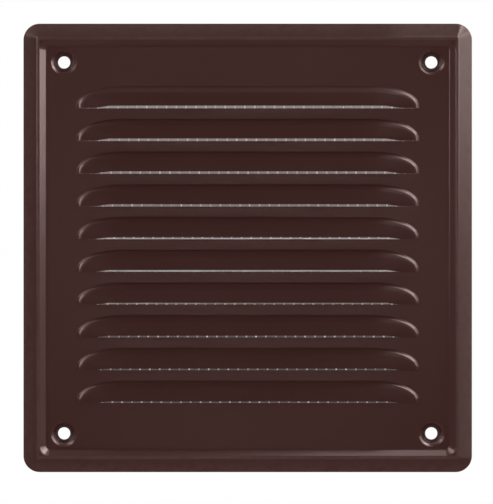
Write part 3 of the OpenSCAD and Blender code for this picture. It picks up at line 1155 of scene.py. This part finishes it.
def flag_material(name, glow, level):
    """Black cloth of a flag that glows faintly nearly level with the wall, and by a share of that quite
    level. The glow is painted light that shows only in the gloss.
    """
    made = new_material(name)
    tree = made.tree
    shape = tree.nodes.new("ShaderNodeNewGeometry").outputs
    way = maths(tree, "NORMALIZE", shape["Position"], vector=True)
    forward = maths(tree, "DOT_PRODUCT", way, (0, -1, 0), vector=True)
    lit = ranged(tree, forward, GLOW_START, GLOW_FULL, to_high=glow)
    kept = ranged(tree, forward, LEVEL_END, LEVEL_START, to_low=level)
    feed_inputs(tree, made.shader, Base_Color=CLOTH_BLACK, Specular_IOR_Level=0)
    feed_inputs(tree, made.shader, Emission_Color=GLOW_COLOUR, Emission_Strength=product(tree, lit, kept))
    return made.material


# A glowing card behind the mesh, which paints the shade seen through the gaps
CARD_MIDDLE = (0, 0.003, 0.0012)
CARD_HALF_W = 0.066
CARD_HALF_H = 0.0615
# How far above and below the middle the card's painted shade changes, and its colour
SHADE_REACH = 0.06
PAINTED_SHADE_COLOUR = (1, 0.86, 0.83)


def painted_shade_card_material(top, bottom):
    """Painted shade: a glowing card behind the mesh in place of the shadow there, seen by the camera from the
    front alone and darker downwards.
    """
    made = new_material("Painted shade card")
    tree = made.tree
    height = axes(tree, object_place(tree))["Z"]
    shade = ranged(tree, height, -SHADE_REACH, SHADE_REACH, bottom, top)
    joined = tree.nodes.new("ShaderNodeCombineColor")
    for socket, part in zip(joined.inputs, PAINTED_SHADE_COLOUR):
        feed(tree, socket, product(tree, shade, part))
    path = tree.nodes.new("ShaderNodeLightPath").outputs
    face = tree.nodes.new("ShaderNodeNewGeometry").outputs
    front = maths(tree, "SUBTRACT", 1, face["Backfacing"])
    feed_inputs(tree, made.shader, Base_Color=(0, 0, 0), Specular_IOR_Level=0)
    feed_inputs(tree, made.shader, Emission_Color=joined.outputs[0], Emission_Strength=1)
    feed_inputs(tree, made.shader, Alpha=product(tree, path["Is Camera Ray"], front))
    return made.material


def floor_material():
    """Pale floor, faintly uneven, that turns to the backdrop's white far from the cover.

    A camera below the floor sees through it.
    """
    made = new_material("Pale floor")
    tree = made.tree
    grain = place_group(tree, "Surface grain", grain_group, Width=0.004, Depth=0.00005, Patch_Width=0.3)
    falloff = place_group(tree, "Distance falloff", falloff_group, Near=0.45, Far=1.1)
    path = tree.nodes.new("ShaderNodeLightPath").outputs
    face = tree.nodes.new("ShaderNodeNewGeometry").outputs
    white = product(tree, seen_directly(tree, path), falloff["Mask"])
    pale = mixed(tree, grain["Patches"], (0.82, 0.82, 0.82), (0.79, 0.79, 0.79))
    below = product(tree, face["Backfacing"], path["Is Camera Ray"])
    put_finish(made, mixed(tree, white, pale, (0, 0, 0)), 1, grain, bump=0.3)
    feed_inputs(tree, made.shader, Specular_IOR_Level=0, Alpha=maths(tree, "SUBTRACT", 1, below))
    backdrop = mixed(tree, white, (0, 0, 0), (1, 1, 1))
    feed_inputs(tree, made.shader, Emission_Color=backdrop, Emission_Strength=1)
    return made.material


# Each flag's middle and its two half sides
FLAG_FRONT = ((0, -1.3, 0), (1.5, 0, 0), (0, 0, 1.5))
FLAG_LEFT = ((-1.4, -0.45, 0), (0, 0.9, 0), (0, 0, 1.5))
FLAG_RIGHT = ((1.4, -0.45, 0), (0, 0.9, 0), (0, 0, 1.5))
FLAG_TOP = ((0, -0.45, 1.4), (1.5, 0, 0), (0, 0.9, 0))
# Hides the lamp above from the first louvre
FLAG_BROW = ((-0.07, -0.005, 0.15), (0.129, 0, 0), (0, 0.024, 0))
# How far the lowest flag lies above the floor
FLAG_CLEAR = 0.01
# The share of the glow that the plain flags have, and what the other two keep of it level with the wall
PLAIN_GLOW = 0.35
LOWER_LEVEL = 0.1
UPPER_LEVEL = 0.7
FLOOR_HALF = 6


class VENT_OT_stage(bpy.types.Operator):
    """Builds the camera, the lamps, the flags, the pale floor and the white world"""

    bl_idname = "vent.stage"
    bl_label = "Stage"

    def execute(self, context):
        scene = context.scene
        studio = scene.vent_studio
        scene.view_settings.view_transform = "Standard"
        add_camera(studio.distance)
        scene.world = white_world(studio.ambient)
        floor = (0, 0, -studio.floor_drop)
        add_stage_sheet("floor", floor, (FLOOR_HALF, 0, 0), (0, FLOOR_HALF, 0), floor_material())
        dark = flag_material("Black flag", studio.glow * PLAIN_GLOW, level=1)
        below = flag_material("Lower flag", studio.glow, LOWER_LEVEL)
        above = flag_material("Upper flag", studio.glow, UPPER_LEVEL)
        add_flag("flag_front", *FLAG_FRONT, dark)
        add_flag("flag_left", *FLAG_LEFT, dark)
        add_flag("flag_right", *FLAG_RIGHT, dark)
        add_flag("flag_top", *FLAG_TOP, above)
        add_flag("flag_brow", *FLAG_BROW, above)
        add_flag("flag_bottom", (0, -0.45, FLAG_CLEAR - studio.floor_drop), (1.5, 0, 0), (0, 0.9, 0), below)
        # The card behind the mesh glows with painted shade, darker downwards, where the space behind the
        # cover lies in shadow
        card = painted_shade_card_material(studio.painted_shade_top, studio.painted_shade_bottom)
        add_stage_sheet("painted_shade_card", CARD_MIDDLE, (CARD_HALF_W, 0, 0), (0, 0, CARD_HALF_H), card)
        # These lamps only show in the gloss. The fill and the world light the colours evenly.
        for name, place, width, height, radiance in (
            ("Key", (0.8, -0.225, 0.343), 0.46, 0.6, studio.key),
            ("Low key", (0.86, -0.15, -0.18), 0.5, 0.4, studio.low_key),
            ("Strip", (-0.7, -0.49, 0.28), 0.17, 0.5, studio.strip),
            ("Corner", (-0.703, -0.187, 0.53), 0.34, 0.34, studio.corner),
            ("Top", (0.11, -0.16, 0.86), 0.12, 0.12, studio.top),
            ("Shoulder", (0.55, -0.19, 0.67), 0.34, 0.5, studio.shoulder),
            ("Far shoulder", (-0.46, -0.15, 0.74), 0.16, 0.34, studio.far_shoulder),
        ):
            add_lamp(name, place, width, height, radiance).visible_diffuse = False
        add_lamp("Fill", (0, -0.95, 0.02), 0.16, 0.16, studio.fill).visible_glossy = False
        add_lamp("Rear", (-0.5, 0.8, 0.5), 0.5, 0.5, studio.rear)
        return {"FINISHED"}


class VENT_PT_panel(bpy.types.Panel):
    """Lists the pieces of the vent cover"""

    bl_idname = "VENT_PT_panel"
    bl_label = "Vent cover"
    bl_space_type = "VIEW_3D"
    bl_region_type = "UI"
    bl_category = "Vent cover"

    def draw(self, context):
        for operator in OPERATORS:
            self.layout.operator(operator.bl_idname)
        for attribute in SETTINGS:
            box = self.layout.box()
            group = getattr(context.scene, attribute)
            for key in group.bl_rna.properties.keys():
                if key not in ("rna_type", "name"):
                    box.prop(group, key)


SETTINGS = {
    "vent_plate": PlateSizes,
    "vent_dimple": DimpleSizes,
    "vent_louvre": LouvreSizes,
    "vent_wires": WireSizes,
    "vent_beads": BeadSizes,
    "vent_coating": CoatingLook,
    "vent_wire_look": WireLook,
    "vent_sealant": SealantLook,
    "vent_studio": StudioSettings,
}
OPERATORS = (VENT_OT_face_plate, VENT_OT_mesh_wires, VENT_OT_sealant_beads, VENT_OT_stage)


def register():
    for group in (*SETTINGS.values(), *OPERATORS, VENT_PT_panel):
        bpy.utils.register_class(group)
    for attribute, group in SETTINGS.items():
        setattr(bpy.types.Scene, attribute, PointerProperty(type=group))


def unregister():
    for attribute in SETTINGS:
        delattr(bpy.types.Scene, attribute)
    for group in (VENT_PT_panel, *reversed(OPERATORS), *reversed(SETTINGS.values())):
        bpy.utils.unregister_class(group)


def main():
    register()
    bpy.ops.vent.face_plate()
    bpy.ops.vent.mesh_wires()
    bpy.ops.vent.sealant_beads()
    bpy.ops.vent.stage()


if __name__ == "__main__":
    main()
